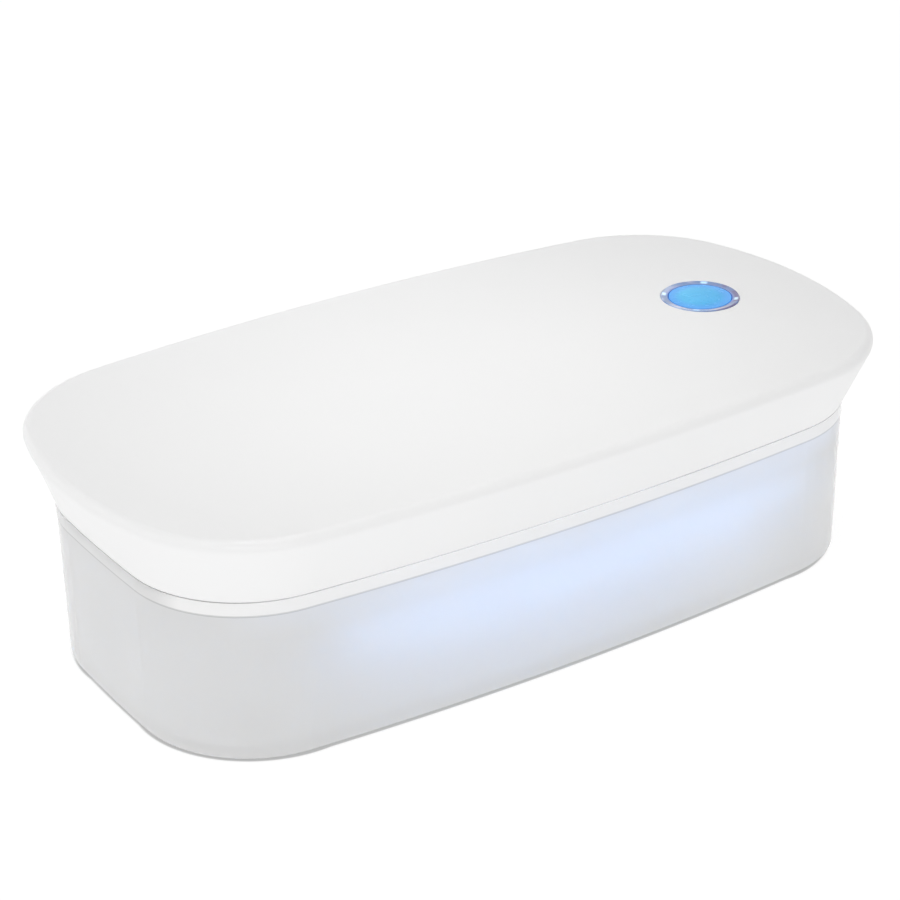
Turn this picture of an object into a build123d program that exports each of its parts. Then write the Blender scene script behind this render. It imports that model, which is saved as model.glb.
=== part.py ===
from build123d import *
from math import asin, atan2, cos, degrees, radians, sin, sqrt
import os

# Millimetres. +Z is up and the table is z = 0. +X runs towards the button end, -Y towards the viewer.

# Plan of the box at its rim: two long bowed sides, two bowed ends and four corner arcs.
rim_half_length = 100.0
rim_half_width = 49.1
rim_side_radius = 821.0
rim_end_radius = 495.0
rim_corner_radius = 30.2

# Plan that the lid's leaning wall reaches at brim_z, above the crown that cuts it off.
brim_half_length = 109.6
brim_half_width = 58.8
brim_side_radius = 779.0
brim_end_radius = 95.0
brim_corner_radius = 36.8
brim_z = 62.0

# The crown: highest point and the two radii of its bow.
crown_z = 61.1
crown_length_radius = 5310.0
crown_width_radius = 1870.0
crown_edge_radius = 2.0

# The box.
foot_lift = 0.8
box_height = 40.5
box_draft = 0.4
wall = 2.0
collar_height = 3.4
collar_stand_out = 0.15
floor_thickness = 1.6
bottom_edge_radius = 0.6
chamber_edge_radius = 3.0
rim_z = foot_lift + box_height
floor_top = foot_lift + floor_thickness
collar_bottom = rim_z - collar_height

# The feet, seated in round recesses of the floor.
foot_radius = 7.5
foot_recess = 0.6
foot_clearance = 0.1
foot_edge_radius = 0.4
foot_x = 80.0
foot_y = 28.0

# The lid: shell, seam above the rim and the step that takes the panel's flange.
seam_gap = 0.2
lid_edge_radius = 0.4
flange_thickness = 1.5
flange_inset = 1.2
flange_clearance = 0.2
skirt_z = rim_z + seam_gap
flange_top = rim_z + flange_thickness

# The plug below the flange, a pan that carries the lamps and the battery.
plug_depth = 4.8
plug_clearance = 0.6
plug_wall = 1.6
panel_floor = 1.6
plug_lead_in = 0.6
plug_inset = wall + plug_clearance
plug_bottom = rim_z - plug_depth
panel_top = plug_bottom + panel_floor

# The seal in its groove round the plug.
seal_bottom = plug_bottom + 0.9
seal_height = 1.2
seal_groove_depth = 0.8
seal_stand_out = 0.25

# Lamp window in the panel, with its gasket, the frame round it and the reflector over it.
window_x = 16.0
window_y = -14.0
window_length = 66.0
window_width = 22.0
window_thickness = 2.0
window_corner = 1.0
window_ledge = 3.0
gasket_thickness = 0.4
window_frame_gap = 0.3
window_frame_wall = 1.2
reflector_height = 5.5
reflector_sheet = 0.6
reflector_top_length = 60.0
reflector_top_width = 12.0
gasket_top = panel_top + gasket_thickness
window_top = gasket_top + window_thickness
reflector_top = window_top + reflector_height

# Lamp board over the reflector, with a row of lamps that look down through it.
uv_board_length = 82.0
uv_board_width = 16.0
lamp_count = 5
lamp_pitch = 12.0
lamp_size = 3.5
lamp_height = 1.6
lamp_clearance = 0.2
board_thickness = 1.6
uv_board_top = reflector_top + board_thickness

# Screws that hold the boards: head above the board, shank in a post.
board_screw_radius = 0.95
board_screw_head_radius = 1.9
board_screw_head_height = 1.5
board_screw_length = 6.0
screw_clearance = 0.05
board_hole_radius = 1.1
screw_end_room = 1.0
board_post_radius = 2.6
uv_post_offset = 38.0

# Screws that hold the panel: they enter wells from inside the box and end in posts of the shell.
lid_screw_radius = 1.2
lid_screw_head_radius = 2.4
lid_screw_head_height = 1.8
lid_screw_length = 9.0
lid_post_radius = 3.2
well_outer_radius = 4.2
well_inner_radius = 2.7
well_hole_radius = 1.4
well_shoulder = 2.0
well_top = 43.0
lid_post_x = 84.0
lid_post_y = 27.0
lid_side_post_y = 40.0
well_ceiling = well_top - well_shoulder

# Battery on its pad, held by four corner stops of the panel.
battery_x = -18.0
battery_y = 19.0
battery_length = 60.0
battery_width = 28.0
battery_thickness = 6.5
battery_edge_radius = 1.5
pad_thickness = 1.0
stop_wall = 1.2
stop_height = 3.5
stop_reach = 8.0
stop_clearance = 0.2
battery_bottom = panel_top + pad_thickness

# Charging board and socket, facing a recess in the rear wall.
port_x = 40.0
port_z = 50.0
port_setback = 1.5
port_wall = 1.6
port_wall_outer_y = rim_half_width - port_setback
port_wall_inner_y = port_wall_outer_y - port_wall
port_block_length = 18.0
port_block_height = 11.0
port_recess_length = 13.0
port_recess_height = 7.2
socket_length = 9.0
socket_height = 3.2
socket_depth = 7.3
socket_sheet = 0.3
socket_tongue = 0.7
socket_back = 1.0
port_hole_clearance = 0.3
socket_setback = 0.2
charging_board_length = 20.0
charging_board_depth = 19.5
charging_board_gap = 0.5
charging_board_thickness = 1.2
charging_board_rear_y = port_wall_inner_y - charging_board_gap
charging_board_front_y = charging_board_rear_y - charging_board_depth
charging_post_x = 7.0
charging_post_front_y = charging_board_front_y + 3.0
charging_post_rear_y = charging_board_front_y + 14.0
charging_board_top = port_z - socket_height / 2
charging_board_bottom = charging_board_top - charging_board_thickness

# The button, its clear ring and the gasket under the ring's flange.
button_x = 74.0
ring_radius = 10.2
ring_bore = 8.35
ring_hole_clearance = 0.1
ring_flange_radius = 12.2
ring_flange_bottom = 56.4
ring_flange_top = 57.6
ring_gasket_thickness = 0.4
ring_top = 60.85
ring_rim_chamfer = 0.25
ring_bevel_drop = 0.25
ring_bevel_inner = 8.75
seat_radius = 13.0
cap_clearance = 0.3
cap_top = 60.8
cap_dome = 0.2
cap_flange_radius = 9.6
cap_flange_thickness = 1.2
stem_radius = 2.0
seat_bottom = ring_flange_top + ring_gasket_thickness
cap_radius = ring_bore - cap_clearance
cap_flange_bottom = ring_flange_bottom - cap_flange_thickness

# Switch under the stem.
control_board_top = 49.0
switch_size = 6.0
switch_height = 3.5
plunger_radius = 1.7
plunger_bore_clearance = 0.1
plunger_stand_out = 1.2
plunger_depth = 1.2
plunger_well = 2.2
switch_top = control_board_top + switch_height
plunger_top = switch_top + plunger_stand_out

# Control board, hung from the shell on four posts.
control_board_low_x = 58.0
control_board_high_x = 92.5
control_board_half_width = 19.5
control_post_low_x = 61.0
control_post_high_x = 88.0
control_post_y = 16.0
control_board_bottom = control_board_top - board_thickness
indicator_ring_radius = 9.0
indicator_size = 2.0
indicator_height = 0.8
indicator_count = 4
chip_size = 6.0
chip_height = 0.9
chip_spots = [(70.0, -13.0), (81.0, 13.0)]
charger_size = 4.0
charger_y = charging_board_front_y + 8.5

# Hall sensor under the control board and the magnet in the box below it.
sensor_x = 90.2
sensor_y = 8.0
sensor_length = 3.0
sensor_width = 2.0
sensor_height = 1.2
magnet_x = 93.2
magnet_radius = 3.0
magnet_thickness = 3.0
magnet_clearance = 0.05
magnet_cap_thickness = 1.5
boss_width = 9.0
boss_low_x = 89.2
boss_top = 35.5
boss_roof = 1.5
boss_bottom = boss_top - boss_roof - magnet_thickness - magnet_cap_thickness
magnet_top = boss_top - boss_roof

# Headers and leads.
header_length = 4.0
header_width = 4.4
header_height = 3.5
lead_radius = 1.0
lead_bend = 2.5
lead_z = 50.5
header_edge = 0.4
charging_header_offset = 2.6
charging_header_y = charging_board_front_y + header_edge + header_length / 2
control_header_x = control_board_low_x + header_edge + header_length / 2
charge_lead_y = 6.0
uv_lead_y = -10.0
uv_header_x = 42.0
uv_header_y = -17.5
battery_lead_y = 24.0
battery_lead_z = 43.0
battery_lead_turn_x = 22.0
battery_lead_turn_y = 18.0
uv_lead_turn_x = 53.0
uv_lead_slant = 3.5


def plan_outline(half_length, half_width, side_radius, end_radius, corner_radius):
    """Closed outline of two long arcs, two end arcs and four corner arcs, all tangent."""
    side_centre = Vector(0, half_width - side_radius)
    end_centre = Vector(half_length - end_radius, 0)
    from_side = side_radius - corner_radius
    from_end = end_radius - corner_radius
    apart = (end_centre - side_centre).length
    towards = (end_centre - side_centre) / apart
    along = (from_side**2 - from_end**2 + apart**2) / (2 * apart)
    across = sqrt(from_side**2 - along**2)
    corner = side_centre + towards * along + Vector(towards.Y, -towards.X) * across
    side_angle = degrees(atan2(corner.X, corner.Y - side_centre.Y))
    end_angle = degrees(atan2(corner.Y, corner.X - end_centre.X))
    corner_angle = 90 - side_angle - end_angle
    with BuildLine() as outline:
        for sign, turn in ((1, 0), (-1, 180)):
            CenterArc((sign * end_centre.X, 0), end_radius, turn - end_angle, 2 * end_angle)
            CenterArc((sign * corner.X, sign * corner.Y), corner_radius, turn + end_angle, corner_angle)
            CenterArc((0, sign * side_centre.Y), side_radius, turn + 90 - side_angle, 2 * side_angle)
            CenterArc((-sign * corner.X, sign * corner.Y), corner_radius, turn + 90 + side_angle, corner_angle)
    return outline.edges()


def rim_plan(inset):
    """The rim's outline, drawn inwards by inset."""
    return plan_outline(
        rim_half_length - inset,
        rim_half_width - inset,
        rim_side_radius - inset,
        rim_end_radius - inset,
        rim_corner_radius - inset,
    )


def brim_plan(inset):
    """The outline of the lid's wall at brim_z, drawn inwards by inset."""
    return plan_outline(
        brim_half_length - inset,
        brim_half_width - inset,
        brim_side_radius - inset,
        brim_end_radius - inset,
        brim_corner_radius - inset,
    )


def crown_block(sink):
    """A block that reaches below the lid and ends in the crowned surface, lowered by sink."""
    half_width = brim_half_width + 10
    half_length = brim_half_length + 10
    depth = brim_z - rim_z + 10
    length_radius = crown_length_radius - sink
    width_radius = crown_width_radius - sink
    swing = degrees(asin(half_length / length_radius))
    bow_centre = (0, 0, crown_z - crown_length_radius)
    edge = length_radius - width_radius + sqrt(width_radius**2 - half_width**2)
    start = radians(swing)
    section = Plane(origin=bow_centre, x_dir=(0, 1, 0), z_dir=(cos(start), 0, sin(start)))
    with BuildPart() as block:
        with BuildSketch(section):
            with BuildLine():
                ThreePointArc((-half_width, edge), (0, length_radius), (half_width, edge))
                Polyline(
                    (half_width, edge),
                    (half_width, length_radius - depth),
                    (-half_width, length_radius - depth),
                    (-half_width, edge),
                )
            make_face()
        revolve(axis=Axis(bow_centre, (0, 1, 0)), revolution_arc=2 * swing)
    return block.part


def lid_form(inset):
    """The lid's solid form, every face moved inwards by inset."""
    with BuildPart() as form:
        with BuildSketch(Plane.XY.offset(skirt_z)):
            make_face(rim_plan(inset))
        with BuildSketch(Plane.XY.offset(brim_z)):
            make_face(brim_plan(inset))
        loft(ruled=True)
        add(crown_block(inset), mode=Mode.INTERSECT)
    return form.part


def keep(piece, name):
    """Name a finished piece and write it."""
    piece.part.label = name
    export_step(piece.part, f"parts/{name}.step")


os.makedirs("parts", exist_ok=True)

foot_spots = {
    "foot_front_left": (-foot_x, -foot_y),
    "foot_front_right": (foot_x, -foot_y),
    "foot_rear_left": (-foot_x, foot_y),
    "foot_rear_right": (foot_x, foot_y),
}
lid_post_spots = [
    (-lid_post_x, -lid_post_y),
    (-lid_post_x, lid_post_y),
    (lid_post_x, -lid_post_y),
    (lid_post_x, lid_post_y),
    (0, -lid_side_post_y),
    (0, lid_side_post_y),
]
control_post_spots = [
    (control_post_low_x, -control_post_y),
    (control_post_low_x, control_post_y),
    (control_post_high_x, -control_post_y),
    (control_post_high_x, control_post_y),
]
uv_post_spots = [(window_x - uv_post_offset, window_y), (window_x + uv_post_offset, window_y)]
charging_post_spots = [
    (port_x - charging_post_x, charging_post_front_y),
    (port_x + charging_post_x, charging_post_front_y),
    (port_x - charging_post_x, charging_post_rear_y),
    (port_x + charging_post_x, charging_post_rear_y),
]
upright = (Align.CENTER, Align.CENTER, Align.MIN)
hanging = (Align.CENTER, Align.CENTER, Align.MAX)

# The hollow of the box, narrower at the floor by the draft.
with BuildPart() as chamber:
    with BuildSketch(Plane.XY.offset(floor_top)):
        make_face(rim_plan(wall + box_draft))
    with BuildSketch(Plane.XY.offset(rim_z)):
        make_face(rim_plan(wall))
    loft(ruled=True)
    fillet(chamber.faces().sort_by(Axis.Z)[0].edges(), chamber_edge_radius)

with BuildPart() as box_body:
    with BuildSketch(Plane.XY.offset(foot_lift)):
        make_face(rim_plan(collar_stand_out + box_draft))
    with BuildSketch(Plane.XY.offset(rim_z)):
        make_face(rim_plan(collar_stand_out))
    loft(ruled=True)
    fillet(box_body.faces().sort_by(Axis.Z)[0].edges(), bottom_edge_radius)
    # The collar round the rim stands out from the wall below it.
    with BuildSketch(Plane.XY.offset(collar_bottom)):
        make_face(rim_plan(0))
    extrude(amount=collar_height)
    add(chamber.part, mode=Mode.SUBTRACT)
    # The boss grows out of the end wall and holds the magnet in a pocket that opens downwards.
    boss_high_x = rim_half_length - wall / 2
    with BuildSketch(Plane.XY.offset(boss_bottom)):
        with Locations(((boss_low_x + boss_high_x) / 2, sensor_y)):
            Rectangle(boss_high_x - boss_low_x, boss_width)
    extrude(amount=boss_top - boss_bottom)
    with BuildSketch(Plane.XY.offset(boss_bottom)):
        with Locations((magnet_x, sensor_y)):
            Circle(magnet_radius + magnet_clearance)
    extrude(amount=magnet_thickness + magnet_cap_thickness, mode=Mode.SUBTRACT)
    with BuildSketch(Plane.XY.offset(foot_lift)):
        with Locations(*foot_spots.values()):
            Circle(foot_radius + foot_clearance)
    extrude(amount=foot_recess, mode=Mode.SUBTRACT)
keep(box_body, "box_body")

for name, (x, y) in foot_spots.items():
    with BuildPart() as foot:
        with BuildSketch():
            with Locations((x, y)):
                Circle(foot_radius)
        extrude(amount=foot_lift + foot_recess)
        fillet(foot.faces().sort_by(Axis.Z)[0].edges(), foot_edge_radius)
    keep(foot, name)

with BuildPart() as lid_magnet:
    with BuildSketch(Plane.XY.offset(magnet_top)):
        with Locations((magnet_x, sensor_y)):
            Circle(magnet_radius)
    extrude(amount=-magnet_thickness)
keep(lid_magnet, "lid_magnet")

with BuildPart() as magnet_cap:
    with BuildSketch(Plane.XY.offset(boss_bottom)):
        with Locations((magnet_x, sensor_y)):
            Circle(magnet_radius)
    extrude(amount=magnet_cap_thickness)
keep(magnet_cap, "magnet_cap")

# What stands inside the lid: screw posts, the flat seat of the button ring and the port block.
with BuildPart() as lid_furniture:
    with BuildSketch(Plane.XY.offset(well_top)):
        with Locations(*lid_post_spots):
            Circle(lid_post_radius)
    extrude(amount=brim_z - well_top)
    with BuildSketch(Plane.XY.offset(control_board_top)):
        with Locations(*control_post_spots):
            Circle(board_post_radius)
    extrude(amount=brim_z - control_board_top)
    with BuildSketch(Plane.XY.offset(seat_bottom)):
        with Locations((button_x, 0)):
            Circle(seat_radius)
    extrude(amount=brim_z - seat_bottom)
    with BuildSketch(Plane.XZ.offset(-port_wall_inner_y)):
        with Locations((port_x, port_z)):
            Rectangle(port_block_length, port_block_height)
    extrude(amount=port_wall_inner_y - brim_half_width)
    add(lid_form(wall / 2), mode=Mode.INTERSECT)

with BuildPart() as lid_shell:
    add(lid_form(0))
    fillet(lid_shell.faces().sort_by(Axis.Z)[-1].edges(), crown_edge_radius)
    fillet(lid_shell.faces().sort_by(Axis.Z)[0].edges(), lid_edge_radius)
    add(lid_form(wall), mode=Mode.SUBTRACT)
    add(lid_furniture.part)
    # The step inside the lower edge takes the panel's flange.
    with BuildSketch(Plane.XY.offset(skirt_z)):
        make_face(rim_plan(flange_inset - flange_clearance))
    extrude(amount=flange_top - skirt_z, mode=Mode.SUBTRACT)
    with BuildSketch(Plane.XY.offset(seat_bottom)):
        with Locations((button_x, 0)):
            Circle(ring_radius + ring_hole_clearance)
    extrude(amount=brim_z - seat_bottom, mode=Mode.SUBTRACT)
    with BuildSketch(Plane.XZ.offset(-port_wall_outer_y)):
        with Locations((port_x, port_z)):
            SlotOverall(port_recess_length, port_recess_height)
    extrude(amount=port_wall_outer_y - brim_half_width, mode=Mode.SUBTRACT)
    with BuildSketch(Plane.XZ.offset(-port_wall_inner_y)):
        with Locations((port_x, port_z)):
            SlotOverall(socket_length + port_hole_clearance, socket_height + port_hole_clearance)
    extrude(amount=port_wall_inner_y - port_wall_outer_y, mode=Mode.SUBTRACT)
    with BuildSketch(Plane.XY.offset(well_top)):
        with Locations(*lid_post_spots):
            Circle(lid_screw_radius + screw_clearance)
    extrude(amount=lid_screw_length - well_shoulder + screw_end_room, mode=Mode.SUBTRACT)
    with BuildSketch(Plane.XY.offset(control_board_top)):
        with Locations(*control_post_spots):
            Circle(board_screw_radius + screw_clearance)
    extrude(amount=board_screw_length - board_thickness + screw_end_room, mode=Mode.SUBTRACT)
keep(lid_shell, "lid_shell")

with BuildPart() as lid_panel:
    with BuildSketch(Plane.XY.offset(plug_bottom)):
        make_face(rim_plan(plug_inset))
    extrude(amount=flange_top - plug_bottom)
    chamfer(lid_panel.faces().sort_by(Axis.Z)[0].edges(), plug_lead_in)
    with BuildSketch(Plane.XY.offset(rim_z)):
        make_face(rim_plan(flange_inset))
    extrude(amount=flange_thickness)
    with BuildSketch(Plane.XY.offset(panel_top)):
        make_face(rim_plan(plug_inset + plug_wall))
    extrude(amount=flange_top - panel_top, mode=Mode.SUBTRACT)
    # Groove for the seal.
    with BuildSketch(Plane.XY.offset(seal_bottom)):
        make_face(rim_plan(plug_inset - plug_clearance))
        make_face(rim_plan(plug_inset + seal_groove_depth), mode=Mode.SUBTRACT)
    extrude(amount=seal_height, mode=Mode.SUBTRACT)
    # Wells for the lid screws.
    with BuildSketch(Plane.XY.offset(plug_bottom)):
        with Locations(*lid_post_spots):
            Circle(well_outer_radius)
    extrude(amount=well_top - plug_bottom)
    with BuildSketch(Plane.XY.offset(plug_bottom)):
        with Locations(*lid_post_spots):
            Circle(well_inner_radius)
    extrude(amount=well_ceiling - plug_bottom, mode=Mode.SUBTRACT)
    with BuildSketch(Plane.XY.offset(well_ceiling)):
        with Locations(*lid_post_spots):
            Circle(well_hole_radius)
    extrude(amount=well_shoulder, mode=Mode.SUBTRACT)
    # Opening for the lamps and the frame that keeps the window in place.
    with BuildSketch(Plane.XY.offset(plug_bottom)):
        with Locations((window_x, window_y)):
            Rectangle(window_length - 2 * window_ledge, window_width - 2 * window_ledge)
    extrude(amount=panel_floor, mode=Mode.SUBTRACT)
    with BuildSketch(Plane.XY.offset(panel_top)):
        with Locations((window_x, window_y)):
            frame_length = window_length + 2 * window_frame_gap
            frame_width = window_width + 2 * window_frame_gap
            Rectangle(frame_length + 2 * window_frame_wall, frame_width + 2 * window_frame_wall)
            Rectangle(frame_length, frame_width, mode=Mode.SUBTRACT)
    extrude(amount=window_top - panel_top)
    # Posts for the lamp board and the charging board.
    with BuildSketch(Plane.XY.offset(panel_top)):
        with Locations(*uv_post_spots):
            Circle(board_post_radius)
    extrude(amount=reflector_top - panel_top)
    with BuildSketch(Plane.XY.offset(reflector_top)):
        with Locations(*uv_post_spots):
            Circle(board_screw_radius + screw_clearance)
    extrude(amount=board_thickness - board_screw_length - screw_end_room, mode=Mode.SUBTRACT)
    with BuildSketch(Plane.XY.offset(panel_top)):
        with Locations(*charging_post_spots):
            Circle(board_post_radius)
    extrude(amount=charging_board_bottom - panel_top)
    with BuildSketch(Plane.XY.offset(charging_board_bottom)):
        with Locations(*charging_post_spots):
            Circle(board_screw_radius + screw_clearance)
    extrude(amount=charging_board_thickness - board_screw_length - screw_end_room, mode=Mode.SUBTRACT)
    # Corner stops round the battery.
    with BuildSketch(Plane.XY.offset(panel_top)):
        with Locations((battery_x, battery_y)):
            stop_length = battery_length + 2 * stop_clearance
            stop_width = battery_width + 2 * stop_clearance
            Rectangle(stop_length + 2 * stop_wall, stop_width + 2 * stop_wall)
            Rectangle(stop_length, stop_width, mode=Mode.SUBTRACT)
            Rectangle(stop_length + 3 * stop_wall, stop_width - 2 * stop_reach, mode=Mode.SUBTRACT)
            Rectangle(stop_length - 2 * stop_reach, stop_width + 3 * stop_wall, mode=Mode.SUBTRACT)
    extrude(amount=stop_height)
keep(lid_panel, "lid_panel")

with BuildPart() as lid_seal:
    with BuildSketch(Plane.XY.offset(seal_bottom)):
        make_face(rim_plan(plug_inset - seal_stand_out))
        make_face(rim_plan(plug_inset + seal_groove_depth), mode=Mode.SUBTRACT)
    extrude(amount=seal_height)
keep(lid_seal, "lid_seal")

with BuildPart() as window_gasket:
    with BuildSketch(Plane.XY.offset(panel_top)):
        with Locations((window_x, window_y)):
            RectangleRounded(window_length, window_width, window_corner)
            Rectangle(window_length - 2 * window_ledge, window_width - 2 * window_ledge, mode=Mode.SUBTRACT)
    extrude(amount=gasket_thickness)
keep(window_gasket, "window_gasket")

with BuildPart() as uv_window:
    with BuildSketch(Plane.XY.offset(gasket_top)):
        with Locations((window_x, window_y)):
            RectangleRounded(window_length, window_width, window_corner)
    extrude(amount=window_thickness)
keep(uv_window, "uv_window")

lamp_row = Plane(origin=(window_x, window_y, reflector_top))

# A trough of thin sheet, open towards the window, with a square hole for each lamp.
with BuildPart() as reflector:
    with BuildSketch(lamp_row.offset(-reflector_height)):
        Rectangle(window_length, window_width)
    with BuildSketch(lamp_row):
        Rectangle(reflector_top_length, reflector_top_width)
    loft(ruled=True)
    with BuildSketch(lamp_row.offset(-reflector_height)):
        Rectangle(window_length - 2 * reflector_sheet, window_width - 2 * reflector_sheet)
    with BuildSketch(lamp_row.offset(-reflector_sheet)):
        Rectangle(reflector_top_length - 2 * reflector_sheet, reflector_top_width - 2 * reflector_sheet)
    loft(ruled=True, mode=Mode.SUBTRACT)
    with BuildSketch(lamp_row):
        with GridLocations(lamp_pitch, 0, lamp_count, 1):
            Rectangle(lamp_size + 2 * lamp_clearance, lamp_size + 2 * lamp_clearance)
    extrude(amount=-reflector_sheet, mode=Mode.SUBTRACT)
keep(reflector, "reflector")

with BuildPart() as uv_board:
    with BuildSketch(lamp_row):
        Rectangle(uv_board_length, uv_board_width)
        with Locations((-uv_post_offset, 0), (uv_post_offset, 0)):
            Circle(board_hole_radius, mode=Mode.SUBTRACT)
    extrude(amount=board_thickness)
keep(uv_board, "uv_board")

with BuildPart() as uv_leds:
    with BuildSketch(lamp_row):
        with GridLocations(lamp_pitch, 0, lamp_count, 1):
            Rectangle(lamp_size, lamp_size)
    extrude(amount=-lamp_height)
keep(uv_leds, "uv_leds")

with BuildPart() as battery_pad:
    with BuildSketch(Plane.XY.offset(panel_top)):
        with Locations((battery_x, battery_y)):
            Rectangle(battery_length, battery_width)
    extrude(amount=pad_thickness)
keep(battery_pad, "battery_pad")

with BuildPart() as battery:
    with BuildSketch(Plane.XY.offset(battery_bottom)):
        with Locations((battery_x, battery_y)):
            Rectangle(battery_length, battery_width)
    extrude(amount=battery_thickness)
    fillet(battery.edges().filter_by(Axis.X), battery_edge_radius)
keep(battery, "battery")

with BuildPart() as charging_board:
    with BuildSketch(Plane.XY.offset(charging_board_bottom)):
        with Locations((port_x, charging_board_front_y + charging_board_depth / 2)):
            Rectangle(charging_board_length, charging_board_depth)
        with Locations(*charging_post_spots):
            Circle(board_hole_radius, mode=Mode.SUBTRACT)
    extrude(amount=charging_board_thickness)
keep(charging_board, "charging_board")

# A metal sleeve with rounded ends, closed at the back, and the contact tongue inside it.
socket_mouth_y = port_wall_inner_y - socket_setback
with BuildPart() as charging_socket:
    with BuildSketch(Plane.XZ.offset(-socket_mouth_y)):
        with Locations((port_x, port_z)):
            SlotOverall(socket_length, socket_height)
    extrude(amount=socket_depth)
    with BuildSketch(Plane.XZ.offset(-socket_mouth_y)):
        with Locations((port_x, port_z)):
            SlotOverall(socket_length - 2 * socket_sheet, socket_height - 2 * socket_sheet)
            Rectangle(socket_length - socket_height, socket_tongue, mode=Mode.SUBTRACT)
    extrude(amount=socket_depth - socket_back, mode=Mode.SUBTRACT)
keep(charging_socket, "charging_socket")

with BuildPart() as control_board:
    board_length = control_board_high_x - control_board_low_x
    with BuildSketch(Plane.XY.offset(control_board_bottom)):
        with Locations((control_board_low_x + board_length / 2, 0)):
            Rectangle(board_length, 2 * control_board_half_width)
        with Locations(*control_post_spots):
            Circle(board_hole_radius, mode=Mode.SUBTRACT)
    extrude(amount=board_thickness)
keep(control_board, "control_board")

# A processor and a driver on the control board, a charger on the charging board.
with BuildPart() as board_chips:
    for x, y in chip_spots:
        with Locations((x, y, control_board_top)):
            Box(chip_size, chip_size, chip_height, align=upright)
    with Locations((port_x, charger_y, charging_board_top)):
        Box(charger_size, charger_size, chip_height, align=upright)
keep(board_chips, "board_chips")

with BuildPart() as switch_body:
    with Locations((button_x, 0, control_board_top)):
        Box(switch_size, switch_size, switch_height, align=upright)
    with Locations((button_x, 0, switch_top)):
        Cylinder(plunger_radius + plunger_bore_clearance, plunger_well, align=hanging, mode=Mode.SUBTRACT)
keep(switch_body, "switch_body")

with BuildPart() as switch_plunger:
    with Locations((button_x, 0, plunger_top)):
        Cylinder(plunger_radius, plunger_stand_out + plunger_depth, align=hanging)
keep(switch_plunger, "switch_plunger")

with BuildPart() as indicator_leds:
    with Locations((button_x, 0, control_board_top)):
        with PolarLocations(indicator_ring_radius, indicator_count, start_angle=45):
            Box(indicator_size, indicator_size, indicator_height, align=upright)
keep(indicator_leds, "indicator_leds")

with BuildPart() as hall_sensor:
    with Locations((sensor_x, sensor_y, control_board_bottom)):
        Box(sensor_length, sensor_width, sensor_height, align=hanging)
keep(hall_sensor, "hall_sensor")

# The ring is turned about the button's axis: flange below, bevel towards the button on top.
with BuildPart() as light_ring:
    with BuildSketch(Plane(origin=(button_x, 0, 0), x_dir=(1, 0, 0), z_dir=(0, -1, 0))):
        Polygon(
            (ring_bore, ring_flange_bottom),
            (ring_flange_radius, ring_flange_bottom),
            (ring_flange_radius, ring_flange_top),
            (ring_radius, ring_flange_top),
            (ring_radius, ring_top - ring_rim_chamfer),
            (ring_radius - ring_rim_chamfer, ring_top),
            (ring_bevel_inner, ring_top - ring_bevel_drop),
            (ring_bore, ring_top - ring_bevel_drop),
            align=None,
        )
    revolve(axis=Axis((button_x, 0, 0), (0, 0, 1)))
keep(light_ring, "light_ring")

with BuildPart() as ring_gasket:
    with BuildSketch(Plane.XY.offset(ring_flange_top)):
        with Locations((button_x, 0)):
            Circle(ring_flange_radius)
            Circle(ring_radius + ring_hole_clearance, mode=Mode.SUBTRACT)
    extrude(amount=ring_gasket_thickness)
keep(ring_gasket, "ring_gasket")

# The button: a slightly domed disc, a flange that stops under the ring, and the stem to the switch.
dome_radius = (cap_radius**2 + cap_dome**2) / (2 * cap_dome)
dome_angle = degrees(asin(cap_radius / dome_radius))
with BuildPart() as button_cap:
    with BuildSketch(Plane(origin=(button_x, 0, 0), x_dir=(1, 0, 0), z_dir=(0, -1, 0))):
        with BuildLine():
            CenterArc((0, cap_top - dome_radius), dome_radius, 90 - dome_angle, dome_angle)
            Polyline(
                (0, cap_top),
                (0, plunger_top),
                (stem_radius, plunger_top),
                (stem_radius, cap_flange_bottom),
                (cap_flange_radius, cap_flange_bottom),
                (cap_flange_radius, ring_flange_bottom),
                (cap_radius, ring_flange_bottom),
                (cap_radius, cap_top - cap_dome),
            )
        make_face()
    revolve(axis=Axis((button_x, 0, 0), (0, 0, 1)))
keep(button_cap, "button_cap")

with BuildPart() as wire_headers:
    for side in (-1, 1):
        with Locations((port_x + side * charging_header_offset, charging_header_y, charging_board_top)):
            Box(header_width, header_length, header_height, align=upright)
    for y in (uv_lead_y, charge_lead_y):
        with Locations((control_header_x, y, control_board_top)):
            Box(header_length, header_width, header_height, align=upright)
    with Locations((uv_header_x, uv_header_y, uv_board_top)):
        Box(header_length, header_width, header_height, align=upright)
keep(wire_headers, "wire_headers")

charging_header_face = charging_header_y - header_length / 2
control_header_face = control_header_x - header_length / 2
lead_routes = {
    "battery_lead": [
        (battery_x + battery_length / 2, battery_lead_y, battery_lead_z),
        (battery_lead_turn_x, battery_lead_y, battery_lead_z),
        (battery_lead_turn_x, battery_lead_turn_y, lead_z),
        (port_x - charging_header_offset, battery_lead_turn_y, lead_z),
        (port_x - charging_header_offset, charging_header_face, lead_z),
    ],
    "charging_lead": [
        (port_x + charging_header_offset, charging_header_face, lead_z),
        (port_x + charging_header_offset, charge_lead_y, lead_z),
        (control_header_face, charge_lead_y, lead_z),
    ],
    "uv_lead": [
        (control_header_face, uv_lead_y, lead_z),
        (uv_lead_turn_x, uv_lead_y, lead_z),
        (uv_lead_turn_x - uv_lead_slant, uv_header_y, lead_z),
        (uv_header_x + header_length / 2, uv_header_y, lead_z),
    ],
}
for name, route in lead_routes.items():
    with BuildPart() as lead:
        with BuildLine() as path:
            FilletPolyline(*route, radius=lead_bend)
        with BuildSketch(Plane(origin=path.line @ 0, z_dir=path.line % 0)):
            Circle(lead_radius)
        sweep()
    keep(lead, name)

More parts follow.
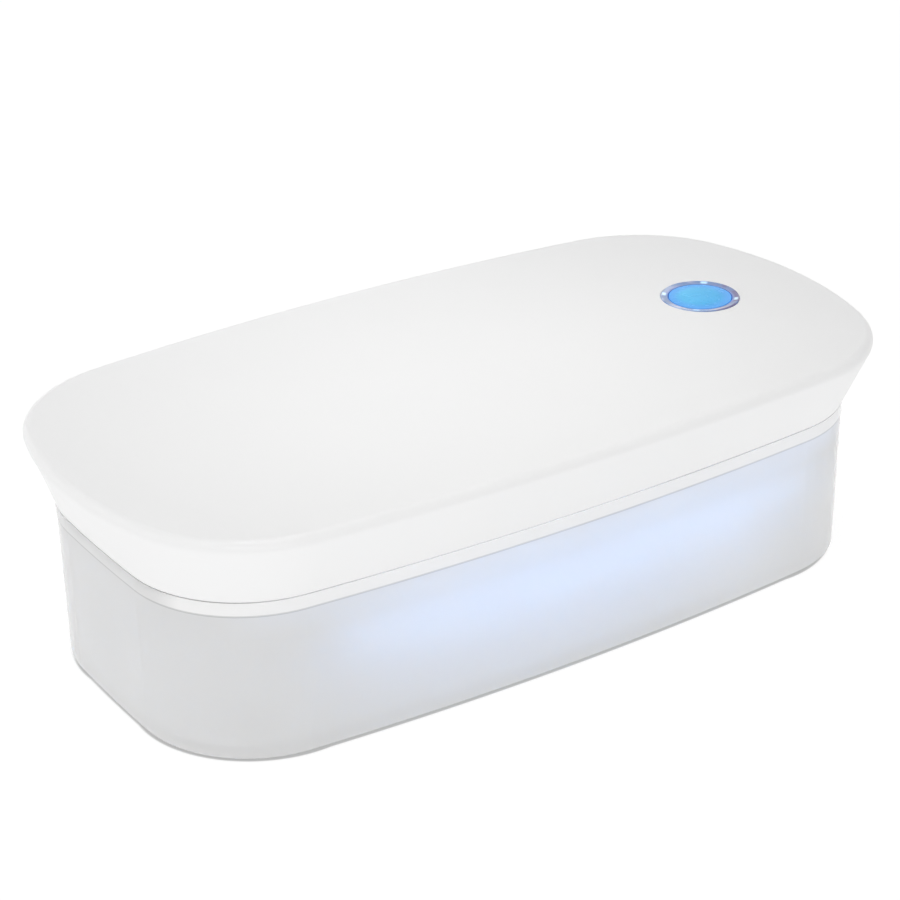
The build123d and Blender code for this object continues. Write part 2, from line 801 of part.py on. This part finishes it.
# Board screws: head outside the board, shank through it into the post.
with BuildPart() as board_screws:
    shank = board_screw_length
    for spots, z in ((uv_post_spots, uv_board_top), (charging_post_spots, charging_board_top)):
        for x, y in spots:
            with Locations((x, y, z)):
                Cylinder(board_screw_head_radius, board_screw_head_height, align=upright)
                Cylinder(board_screw_radius, shank, align=hanging)
    for x, y in control_post_spots:
        with Locations((x, y, control_board_bottom)):
            Cylinder(board_screw_head_radius, board_screw_head_height, align=hanging)
            Cylinder(board_screw_radius, shank, align=upright)
keep(board_screws, "board_screws")

with BuildPart() as lid_screws:
    with BuildSketch(Plane.XY.offset(well_ceiling)):
        with Locations(*lid_post_spots):
            Circle(lid_screw_head_radius)
    extrude(amount=-lid_screw_head_height)
    with BuildSketch(Plane.XY.offset(well_ceiling)):
        with Locations(*lid_post_spots):
            Circle(lid_screw_radius)
    extrude(amount=lid_screw_length)
keep(lid_screws, "lid_screws")
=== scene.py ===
from math import cos, radians, sin, tan

import bpy
from mathutils import Matrix, Vector


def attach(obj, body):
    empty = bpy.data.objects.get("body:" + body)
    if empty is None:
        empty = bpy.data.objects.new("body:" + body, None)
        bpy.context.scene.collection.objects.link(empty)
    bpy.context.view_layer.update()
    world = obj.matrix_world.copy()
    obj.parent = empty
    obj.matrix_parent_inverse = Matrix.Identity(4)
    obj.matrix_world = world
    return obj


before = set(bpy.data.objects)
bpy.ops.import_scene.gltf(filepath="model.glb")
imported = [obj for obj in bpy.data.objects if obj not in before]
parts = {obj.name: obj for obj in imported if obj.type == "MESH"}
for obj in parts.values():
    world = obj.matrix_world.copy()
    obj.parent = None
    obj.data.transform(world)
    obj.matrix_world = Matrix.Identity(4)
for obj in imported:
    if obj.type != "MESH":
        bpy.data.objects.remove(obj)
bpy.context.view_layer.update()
scene = bpy.context.scene

# Camera: angles in degrees, focal length in pixels of the photograph, the rest in metres.
AZIMUTH = -33.433
ELEVATION = 26.18
ROLL = -0.843
DISTANCE = 0.632891
SHIFT_RIGHT = -0.003732
SHIFT_UP = 0.032993
FOOT_LIFT = 0.0008
FOCAL_PIXELS = 2495.327
PHOTO_PIXELS = 900

# Places on the object: the button, the lamps' light, the tub's floor, collar and rim, and the feet.
BUTTON_X = 0.074
LAMP_X = 0.004
LAMP_Y = -0.0292
LAMP_Z = 0.0325
TUB_FLOOR_Z = 0.0024
COLLAR_Z = 0.0379
RIM_Z = 0.0413
FOOT_X = 0.08
FOOT_Y = 0.028
FOOT_RADIUS = 0.0074

# Distances from the button's axis: the cap's middle and edge, the ring's face and its painted glints.
CAP_MIDDLE = 0.0045
CAP_EDGE = 0.0077
RING_INSIDE = 0.0082
RING_OUTSIDE = 0.0092
GLINT_RADIUS = 0.0093

# The box's outline on the floor.
HALF_LENGTH = 0.0996
HALF_WIDTH = 0.0486
SIDE_RADIUS = 0.821
END_RADIUS = 0.495
CORNER_RADIUS = 0.0300
CORNER_ANGLE = radians(82.8)


def place_camera():
    """The camera at the photograph's viewpoint."""
    a, e, r = radians(AZIMUTH), radians(ELEVATION), radians(ROLL)
    back = Vector((sin(a) * cos(e), -cos(a) * cos(e), sin(e)))
    level = Vector((cos(a), sin(a), 0))
    rise = back.cross(level)
    right = cos(r) * level + sin(r) * rise
    up = cos(r) * rise - sin(r) * level
    data = bpy.data.cameras.new("camera")
    data.sensor_width = 36
    data.lens = 36 * FOCAL_PIXELS / PHOTO_PIXELS
    data.clip_start = 0.01
    data.clip_end = 20
    camera = bpy.data.objects.new("camera", data)
    scene.collection.objects.link(camera)
    place = back * DISTANCE + right * SHIFT_RIGHT + up * SHIFT_UP + Vector((0, 0, FOOT_LIFT))
    turn = Matrix((right, up, back)).transposed().to_4x4()
    camera.matrix_world = Matrix.Translation(place) @ turn
    scene.camera = camera


def add_area(name, place, target, size, power, spread=180):
    """A soft area light that looks at the target, its spread in degrees."""
    data = bpy.data.lights.new(name, "AREA")
    data.energy = power
    data.size = size
    data.spread = radians(spread)
    light = bpy.data.objects.new(name, data)
    light.location = place
    light.rotation_mode = "QUATERNION"
    light.rotation_quaternion = (Vector(target) - Vector(place)).to_track_quat("-Z", "Y")
    light.visible_camera = False
    scene.collection.objects.link(light)
    return light


def new_material(name, color, roughness, **sockets):
    """A material of one Principled shader; the keywords are its sockets."""
    material = bpy.data.materials.new(name)
    material.use_nodes = True
    shader = shader_of(material)
    shader.inputs["Base Color"].default_value = (*color, 1)
    shader.inputs["Roughness"].default_value = roughness
    for socket, value in sockets.items():
        shader.inputs[socket.replace("_", " ")].default_value = value
    return material


def shader_of(material):
    """The material's Principled shader."""
    return material.node_tree.nodes["Principled BSDF"]


def object_point(material):
    """The point in the object's own frame, in metres."""
    nodes = material.node_tree.nodes
    if "Texture Coordinate" not in nodes:
        nodes.new("ShaderNodeTexCoord")
    return nodes["Texture Coordinate"].outputs["Object"]


def noise(material, scale, detail=3.0):
    """Noise whose features are about 1/scale metres wide."""
    tree = material.node_tree
    node = tree.nodes.new("ShaderNodeTexNoise")
    node.inputs["Scale"].default_value = scale
    node.inputs["Detail"].default_value = detail
    tree.links.new(object_point(material), node.inputs["Vector"])
    return node.outputs["Fac"]


def remap(material, value, low, high, to_low=0.0, to_high=1.0, smooth=True):
    """The value from low to high, as a value from to_low to to_high that stays in these bounds."""
    tree = material.node_tree
    node = tree.nodes.new("ShaderNodeMapRange")
    node.interpolation_type = "SMOOTHSTEP" if smooth else "LINEAR"
    for index, number in enumerate((low, high, to_low, to_high), 1):
        node.inputs[index].default_value = number
    tree.links.new(value, node.inputs[0])
    return node.outputs[0]


def combine(material, operation, first, second):
    """The result of a math operation on two outputs or numbers."""
    tree = material.node_tree
    node = tree.nodes.new("ShaderNodeMath")
    node.operation = operation
    for socket, value in zip(node.inputs, (first, second)):
        if isinstance(value, (int, float)):
            socket.default_value = value
        else:
            tree.links.new(value, socket)
    return node.outputs[0]


def multiply(material, first, second):
    """The product of two outputs or numbers."""
    return combine(material, "MULTIPLY", first, second)


def distance(material, value, centre=0.0):
    """How far a value is from centre."""
    return combine(material, "ABSOLUTE", combine(material, "SUBTRACT", value, centre), 0)


def mix_colors(material, factor, low, high):
    """A color between low and high, which are colors or outputs."""
    tree = material.node_tree
    node = tree.nodes.new("ShaderNodeMix")
    node.data_type = "RGBA"
    tree.links.new(factor, node.inputs["Factor"])
    for socket, color in zip((node.inputs[6], node.inputs[7]), (low, high)):
        if isinstance(color, tuple):
            socket.default_value = (*color, 1)
        else:
            tree.links.new(color, socket)
    return node.outputs[2]


def link(material, value, socket):
    """Feed an output to a socket of the material's shader."""
    material.node_tree.links.new(value, shader_of(material).inputs[socket])


def vary_color(material, low, high, scale, detail=3.0):
    """Soft patches of two colors."""
    factor = remap(material, noise(material, scale, detail), 0.35, 0.65)
    link(material, mix_colors(material, factor, low, high), "Base Color")


def vary_roughness(material, low, high, scale):
    """Soft patches of two roughnesses."""
    link(material, remap(material, noise(material, scale), 0.3, 0.7, low, high), "Roughness")


def add_grain(material, scale, depth, detail=2.0):
    """Fine relief: features 1/scale metres wide and about depth metres deep."""
    tree = material.node_tree
    bump = tree.nodes.new("ShaderNodeBump")
    bump.inputs["Distance"].default_value = depth
    bump.inputs["Strength"].default_value = 1.0
    tree.links.new(noise(material, scale, detail), bump.inputs["Height"])
    link(material, bump.outputs["Normal"], "Normal")


def split_point(material, centre_x=0.0):
    """The point's x from centre_x, its y and its z, as three outputs."""
    tree = material.node_tree
    node = tree.nodes.new("ShaderNodeSeparateXYZ")
    tree.links.new(object_point(material), node.inputs[0])
    x = combine(material, "SUBTRACT", node.outputs[0], centre_x)
    return x, node.outputs[1], node.outputs[2]


def hypotenuse(material, first, second):
    """Square root of the sum of two squares."""
    squares = [multiply(material, value, value) for value in (first, second)]
    return combine(material, "SQRT", combine(material, "ADD", *squares), 0)


def along(material, x, y, direction_x, direction_y):
    """How far (x, y) lies along a direction."""
    products = multiply(material, x, direction_x), multiply(material, y, direction_y)
    return combine(material, "ADD", *products)


def paint(material, *names):
    """Give the named pieces the material."""
    for name in names:
        parts[name].data.materials.clear()
        parts[name].data.materials.append(material)


# The frosted tub: light passes, shapes blur.
frosted = new_material(
    "frosted",
    (0.985, 0.983, 0.98),
    0.12,
    IOR=1.4,
    Subsurface_Radius=(0.002, 0.002, 0.002),
    Subsurface_Scale=1.0,
    Emission_Strength=1.0,
)
frosted_x, frosted_y, frosted_z = split_point(frosted)
# The collar is painted whiter than the wall, standing in for the lit plug behind it, and this painted light
# fades towards the ends as a painted shade.
past_middle = distance(frosted, frosted_x)
collar_painted_light_and_shade = multiply(
    frosted,
    remap(frosted, frosted_z, COLLAR_Z - 0.0001, COLLAR_Z + 0.0001),
    remap(frosted, past_middle, 0.0955, 0.0992, 1.0, 0.15),
)
# A ring of painted shade traces the edge of each foot's recess in the tub's floor.
past_foot = combine(frosted, "SUBTRACT", distance(frosted, frosted_y), FOOT_Y)
foot_reach = hypotenuse(frosted, combine(frosted, "SUBTRACT", past_middle, FOOT_X), past_foot)
foot_ring_painted_shade = multiply(
    frosted,
    remap(frosted, distance(frosted, foot_reach, FOOT_RADIUS), 0.0003, 0.0009, 1.0, 0.0),
    remap(frosted, frosted_z, TUB_FLOOR_Z + 0.0002, TUB_FLOOR_Z + 0.0006, 1.0, 0.0),
)
# The collar's painted light and the feet's painted shade set how much light passes and scatters.
link(frosted, remap(frosted, collar_painted_light_and_shade, 0, 1, 0.34, 0.14, smooth=False), "Transmission Weight")
milky = combine(frosted, "SUBTRACT", remap(frosted, collar_painted_light_and_shade, 0, 1, 1.0, 0.1, smooth=False), foot_ring_painted_shade)
link(frosted, combine(frosted, "MAXIMUM", milky, 0), "Subsurface Weight")
# A fine grey line of painted shade runs under the collar.
cloud = remap(frosted, noise(frosted, 18), 0.35, 0.65)
veil = mix_colors(frosted, cloud, (0.98, 0.978, 0.975), (0.99, 0.988, 0.985))
off_shade_line = remap(frosted, distance(frosted, frosted_z, COLLAR_Z), 0.00015, 0.0004)
veil_with_shade_line = mix_colors(frosted, off_shade_line, (0.70, 0.70, 0.70), veil)
# The feet's rings of painted shade darken the base colour here.
link(frosted, mix_colors(frosted, foot_ring_painted_shade, veil_with_shade_line, (0.5, 0.5, 0.52)), "Base Color")
# Painted glow: the wall's front glows blue up to its collar, a painted stand-in for the lamps' light, and
# its rim top glows white, a painted light in the seam's shade.
painted_glow_below_collar = multiply(
    frosted,
    remap(frosted, frosted_z, 0.031, 0.0376, 0.0, 0.10),
    remap(frosted, collar_painted_light_and_shade, 0, 1, 1.0, 0.18, smooth=False),
)
rim_painted_light = multiply(
    frosted,
    remap(frosted, frosted_z, RIM_Z - 0.0001, RIM_Z - 0.00001),
    remap(frosted, frosted_x, 0.01, 0.035, 0.21, 0.10),
)
front_glow_reach = multiply(
    frosted,
    remap(frosted, frosted_y, -0.046, -0.036, 1.0, 0.0),
    remap(frosted, frosted_x, -0.085, -0.03, 0.45, 1.0),
)
painted_wall_glow = mix_colors(frosted, multiply(frosted, painted_glow_below_collar, front_glow_reach), (0, 0, 0), (0.42, 0.58, 0.98))
painted_wall_glow = mix_colors(frosted, multiply(frosted, rim_painted_light, front_glow_reach), painted_wall_glow, (0.74, 0.76, 0.80))
link(frosted, painted_wall_glow, "Emission Color")
vary_roughness(frosted, 0.10, 0.14, 60)
add_grain(frosted, 2500, 0.000006)
paint(frosted, "box_body")

feet = new_material("feet", (0.80, 0.81, 0.83), 0.6)
vary_color(feet, (0.78, 0.79, 0.81), (0.82, 0.83, 0.85), 400)
add_grain(feet, 3000, 0.00003)
paint(feet, "foot_front_left", "foot_front_right", "foot_rear_left", "foot_rear_right")

white = new_material("satin_white", (0.87, 0.87, 0.87), 0.40, IOR=1.46)
vary_color(white, (0.87, 0.87, 0.87), (0.88, 0.88, 0.88), 9)
vary_roughness(white, 0.34, 0.42, 45)
add_grain(white, 2200, 0.000006)
paint(white, "lid_shell")

panel = new_material("panel_white", (0.88, 0.88, 0.88), 0.5)
vary_color(panel, (0.94, 0.94, 0.94), (0.96, 0.96, 0.96), 12)
add_grain(panel, 2600, 0.00001)
paint(panel, "lid_panel")

plug = new_material("plug", (0.80, 0.81, 0.83), 0.5)
vary_color(plug, (0.78, 0.79, 0.81), (0.83, 0.84, 0.86), 200)
paint(plug, "magnet_cap")

silicone = new_material("silicone", (0.80, 0.82, 0.85), 0.5)
vary_color(silicone, (0.77, 0.79, 0.83), (0.83, 0.85, 0.88), 300)
add_grain(silicone, 4000, 0.00001)
paint(silicone, "lid_seal", "window_gasket", "ring_gasket")

quartz = new_material("quartz", (0.96, 0.97, 1.0), 0.03, IOR=1.46, Transmission_Weight=1.0)
vary_roughness(quartz, 0.02, 0.05, 80)
paint(quartz, "uv_window")

sheet = new_material("polished_sheet", (0.86, 0.87, 0.89), 0.16, Metallic=1.0)
vary_roughness(sheet, 0.12, 0.24, 500)
add_grain(sheet, 900, 0.000004)
paint(sheet, "reflector")

lamp_board = new_material("lamp_board", (0.85, 0.86, 0.86), 0.35)
vary_color(lamp_board, (0.83, 0.84, 0.84), (0.88, 0.88, 0.88), 250)
paint(lamp_board, "uv_board")

lamps = new_material(
    "lamps", (0.75, 0.72, 0.95), 0.25, Emission_Color=(0.30, 0.32, 1.0, 1), Emission_Strength=2.0
)
vary_color(lamps, (0.70, 0.68, 0.92), (0.82, 0.80, 0.98), 900)
paint(lamps, "uv_leds")

circuit = new_material("circuit", (0.03, 0.18, 0.09), 0.32)
# Copper tracks under the green mask: straight lines that step at random.
_, circuit_y, _ = split_point(circuit)
track_step = combine(circuit, "SNAP", remap(circuit, noise(circuit, 240, 0), 0.3, 0.7, 0, 0.004), 0.0008)
track_beat = combine(circuit, "PINGPONG", combine(circuit, "ADD", circuit_y, track_step), 0.0004)
tracks = remap(circuit, track_beat, 0.00012, 0.00018, 1.0, 0.0)
mask_tone = remap(circuit, noise(circuit, 300), 0.35, 0.65)
mask_green = mix_colors(circuit, mask_tone, (0.015, 0.13, 0.06), (0.025, 0.16, 0.075))
link(circuit, mix_colors(circuit, tracks, mask_green, (0.06, 0.28, 0.12)), "Base Color")
add_grain(circuit, 1400, 0.00002, 4)
paint(circuit, "control_board", "charging_board")

epoxy = new_material("epoxy", (0.025, 0.025, 0.028), 0.45)
vary_color(epoxy, (0.02, 0.02, 0.022), (0.035, 0.035, 0.038), 1500)
add_grain(epoxy, 5000, 0.00001)
paint(epoxy, "board_chips", "switch_body", "hall_sensor")

indicator = new_material(
    "indicator", (0.7, 0.8, 1.0), 0.3, Emission_Color=(0.45, 0.65, 1.0, 1), Emission_Strength=6.0
)
vary_color(indicator, (0.65, 0.75, 0.95), (0.8, 0.88, 1.0), 1500)
paint(indicator, "indicator_leds")

steel = new_material("steel", (0.62, 0.63, 0.65), 0.28, Metallic=1.0)
vary_roughness(steel, 0.2, 0.38, 900)
add_grain(steel, 2500, 0.00001)
paint(steel, "board_screws", "lid_screws", "charging_socket", "lid_magnet")

pouch = new_material("pouch", (0.68, 0.69, 0.71), 0.33, Metallic=0.85)
vary_color(pouch, (0.64, 0.65, 0.67), (0.72, 0.73, 0.75), 120)
add_grain(pouch, 260, 0.0001, 3)
paint(pouch, "battery")

foam = new_material("foam", (0.06, 0.06, 0.065), 0.9)
vary_color(foam, (0.04, 0.04, 0.045), (0.09, 0.09, 0.095), 2500)
add_grain(foam, 2500, 0.00008)
paint(foam, "battery_pad")

header = new_material("header", (0.82, 0.79, 0.70), 0.5)
vary_color(header, (0.80, 0.77, 0.68), (0.85, 0.82, 0.74), 600)
paint(header, "wire_headers")

sleeve = new_material("sleeve", (0.04, 0.04, 0.045), 0.5)
vary_color(sleeve, (0.03, 0.03, 0.035), (0.06, 0.06, 0.065), 1200)
add_grain(sleeve, 3500, 0.00001)
paint(sleeve, "battery_lead", "charging_lead", "uv_lead")

plunger = new_material("plunger", (0.80, 0.80, 0.78), 0.45)
vary_color(plunger, (0.78, 0.78, 0.76), (0.83, 0.83, 0.81), 1200)
paint(plunger, "switch_plunger")

# The lit cap: paler in the middle, bluer at its edge, and paler towards the rear left as a painted light.
azure = new_material(
    "azure", (0.05, 0.22, 0.45), 0.25, Coat_Weight=0.3, Coat_Roughness=0.1, Emission_Strength=1.0
)
cap_x, cap_y, _ = split_point(azure, BUTTON_X)
cap_edge = remap(azure, hypotenuse(azure, cap_x, cap_y), CAP_MIDDLE, CAP_EDGE)
cap_painted_light_lean = remap(azure, along(azure, cap_x, cap_y, 0.55, -0.83), -0.007, 0.007)
cap_core_painted_light = mix_colors(azure, cap_painted_light_lean, (0.04, 0.31, 0.48), (0.0, 0.21, 0.40))
link(azure, mix_colors(azure, cap_edge, cap_core_painted_light, (0.04, 0.19, 0.50)), "Emission Color")
vary_color(azure, (0.005, 0.18, 0.40), (0.02, 0.21, 0.44), 200, 2)
vary_roughness(azure, 0.2, 0.3, 500)
paint(azure, "button_cap")

# The clear ring: bluer inside, darker towards the front right as a painted shade, with four painted glints.
ring = new_material(
    "clear_ring",
    (0.32, 0.34, 0.78),
    0.08,
    IOR=1.5,
    Coat_Weight=1.0,
    Coat_Roughness=0.04,
    Emission_Strength=1.0,
)
ring_x, ring_y, _ = split_point(ring, BUTTON_X)
ring_reach = hypotenuse(ring, ring_x, ring_y)
ring_shade_lean = remap(ring, along(ring, ring_x, ring_y, 0.83, -0.55), -0.009, 0.009)
ring_outer_painted_shade = mix_colors(ring, ring_shade_lean, (0.46, 0.54, 0.76), (0.14, 0.11, 0.26))
ring_face = remap(ring, ring_reach, RING_INSIDE, RING_OUTSIDE)
ring_hue_painted_shade = mix_colors(ring, ring_face, (0.20, 0.30, 0.66), ring_outer_painted_shade)
ring_patches = remap(ring, noise(ring, 260, 1), 0.4, 0.6)
link(ring, mix_colors(ring, ring_patches, ring_hue_painted_shade, (0.16, 0.26, 0.50)), "Base Color")
# Four painted glints: white spots of painted highlight on the ring.
ring_turn = combine(ring, "ARCTAN2", ring_y, ring_x)
ring_glint_beat = combine(ring, "COSINE", multiply(ring, ring_turn, 4), 0)
ring_glint_band = remap(ring, distance(ring, ring_reach, GLINT_RADIUS), 0.0002, 0.0007, 1.0, 0.05)
ring_painted_glint = multiply(ring, remap(ring, ring_glint_beat, -0.88, -1.0), ring_glint_band)
link(ring, mix_colors(ring, ring_painted_glint, (0.01, 0.02, 0.05), (0.5, 0.72, 0.82)), "Emission Color")
vary_roughness(ring, 0.06, 0.12, 600)
paint(ring, "light_ring")

# The floor shines evenly as a lit white sheet does; under the box and along its outline its shadow is
# painted.
bpy.ops.mesh.primitive_plane_add(size=6, location=(0, 0, 0))
floor = bpy.context.object
floor.name = "floor"
floor_paint = new_material(
    "floor_paint", (0.2, 0.2, 0.2), 0.6, Specular_IOR_Level=0.0, Emission_Strength=0.87
)
floor_x, floor_y, _ = split_point(floor_paint)
# How far a point is outside the box's outline, negative under the box.
past_side = combine(floor_paint, "ADD", distance(floor_paint, floor_y), SIDE_RADIUS - HALF_WIDTH)
past_side = hypotenuse(floor_paint, floor_x, past_side)
past_side = combine(floor_paint, "SUBTRACT", past_side, SIDE_RADIUS - CORNER_RADIUS)
past_end = combine(floor_paint, "ADD", distance(floor_paint, floor_x), END_RADIUS - HALF_LENGTH)
past_end = hypotenuse(floor_paint, past_end, floor_y)
past_end = combine(floor_paint, "SUBTRACT", past_end, END_RADIUS - CORNER_RADIUS)
side_part = combine(floor_paint, "MAXIMUM", past_side, 0)
end_part = combine(floor_paint, "MAXIMUM", past_end, 0)
skew = along(floor_paint, side_part, end_part, 1 / sin(CORNER_ANGLE), -1 / tan(CORNER_ANGLE))
round_part = hypotenuse(floor_paint, skew, end_part)
flat_part = combine(floor_paint, "MINIMUM", combine(floor_paint, "MAXIMUM", past_side, past_end), 0)
outside = combine(floor_paint, "ADD", round_part, flat_part)
outside = combine(floor_paint, "SUBTRACT", outside, CORNER_RADIUS)
# Painted shadow: darkest along the box's outline, dimmer under the box.
open_floor_painted_shadow = remap(floor_paint, outside, -0.0006, 0.0002, 0.42, 1.0)
under_box_painted_shade = remap(floor_paint, outside, -0.014, -0.004, 0.6, 0.0)
floor_glow_painted_shadow = combine(floor_paint, "MAXIMUM", open_floor_painted_shadow, under_box_painted_shade)
link(floor_paint, mix_colors(floor_paint, floor_glow_painted_shadow, (0, 0, 0), (1, 1, 1)), "Emission Color")
floor.data.materials.append(floor_paint)

# The sky: brightest at the horizon, a little brighter to the left and behind the box.
world = bpy.data.worlds.new("studio")
scene.world = world
world.use_nodes = True
world_tree = world.node_tree
world_point = world_tree.nodes.new("ShaderNodeTexCoord")
world_split = world_tree.nodes.new("ShaderNodeSeparateXYZ")
world_tree.links.new(world_point.outputs["Generated"], world_split.inputs[0])
world_x, world_y, world_z = world_split.outputs
height_glow = remap(world, world_z, 0.03, 0.22, 1.0, 0.735)
horizon_glow = remap(world, world_z, 0.0, 0.04, 0.15, 0.0)
side_glow = along(world, world_x, world_y, -0.13, 0.10)
world_glow = combine(world, "ADD", combine(world, "ADD", height_glow, side_glow), horizon_glow)
background = world_tree.nodes["Background"]
world_tree.links.new(world_glow, background.inputs["Strength"])
background.inputs["Color"].default_value = (1, 1, 1, 1)

# The studio's lights: from above, from the front left, low from the left, and on the right end of the wall.
add_area("key", (-0.012, 0.0, 0.7), (-0.012, 0.0, 0), 0.14, 0.044, 32)
add_area("side_key", (-0.5, -0.6, 0.5), (0, 0, 0.04), 0.6, 0.37)
add_area("low_fill", (-0.15, -0.2, 0.08), (0, 0, 0.04), 0.08, 0.02)
add_area("right_fill", (0.12, -0.2, 0.012), (0.062, -0.05, 0.006), 0.04, 0.0008, 28)

# The lamps' light on the front wall, a long strip that rides on the lid.
lamp_place = (LAMP_X, LAMP_Y, LAMP_Z)
lamp_target = (LAMP_X, LAMP_Y - 0.016, LAMP_Z - 0.008)
lamp_light = add_area("lamp_light", lamp_place, lamp_target, 0.146, 0.025, 95)
lamp_light.data.shape = "ELLIPSE"
lamp_light.data.size_y = 0.008
lamp_light.data.color = (0.24, 0.50, 1.0)
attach(lamp_light, "lid")

scene.view_settings.view_transform = "Standard"
scene.view_settings.look = "None"

place_camera()
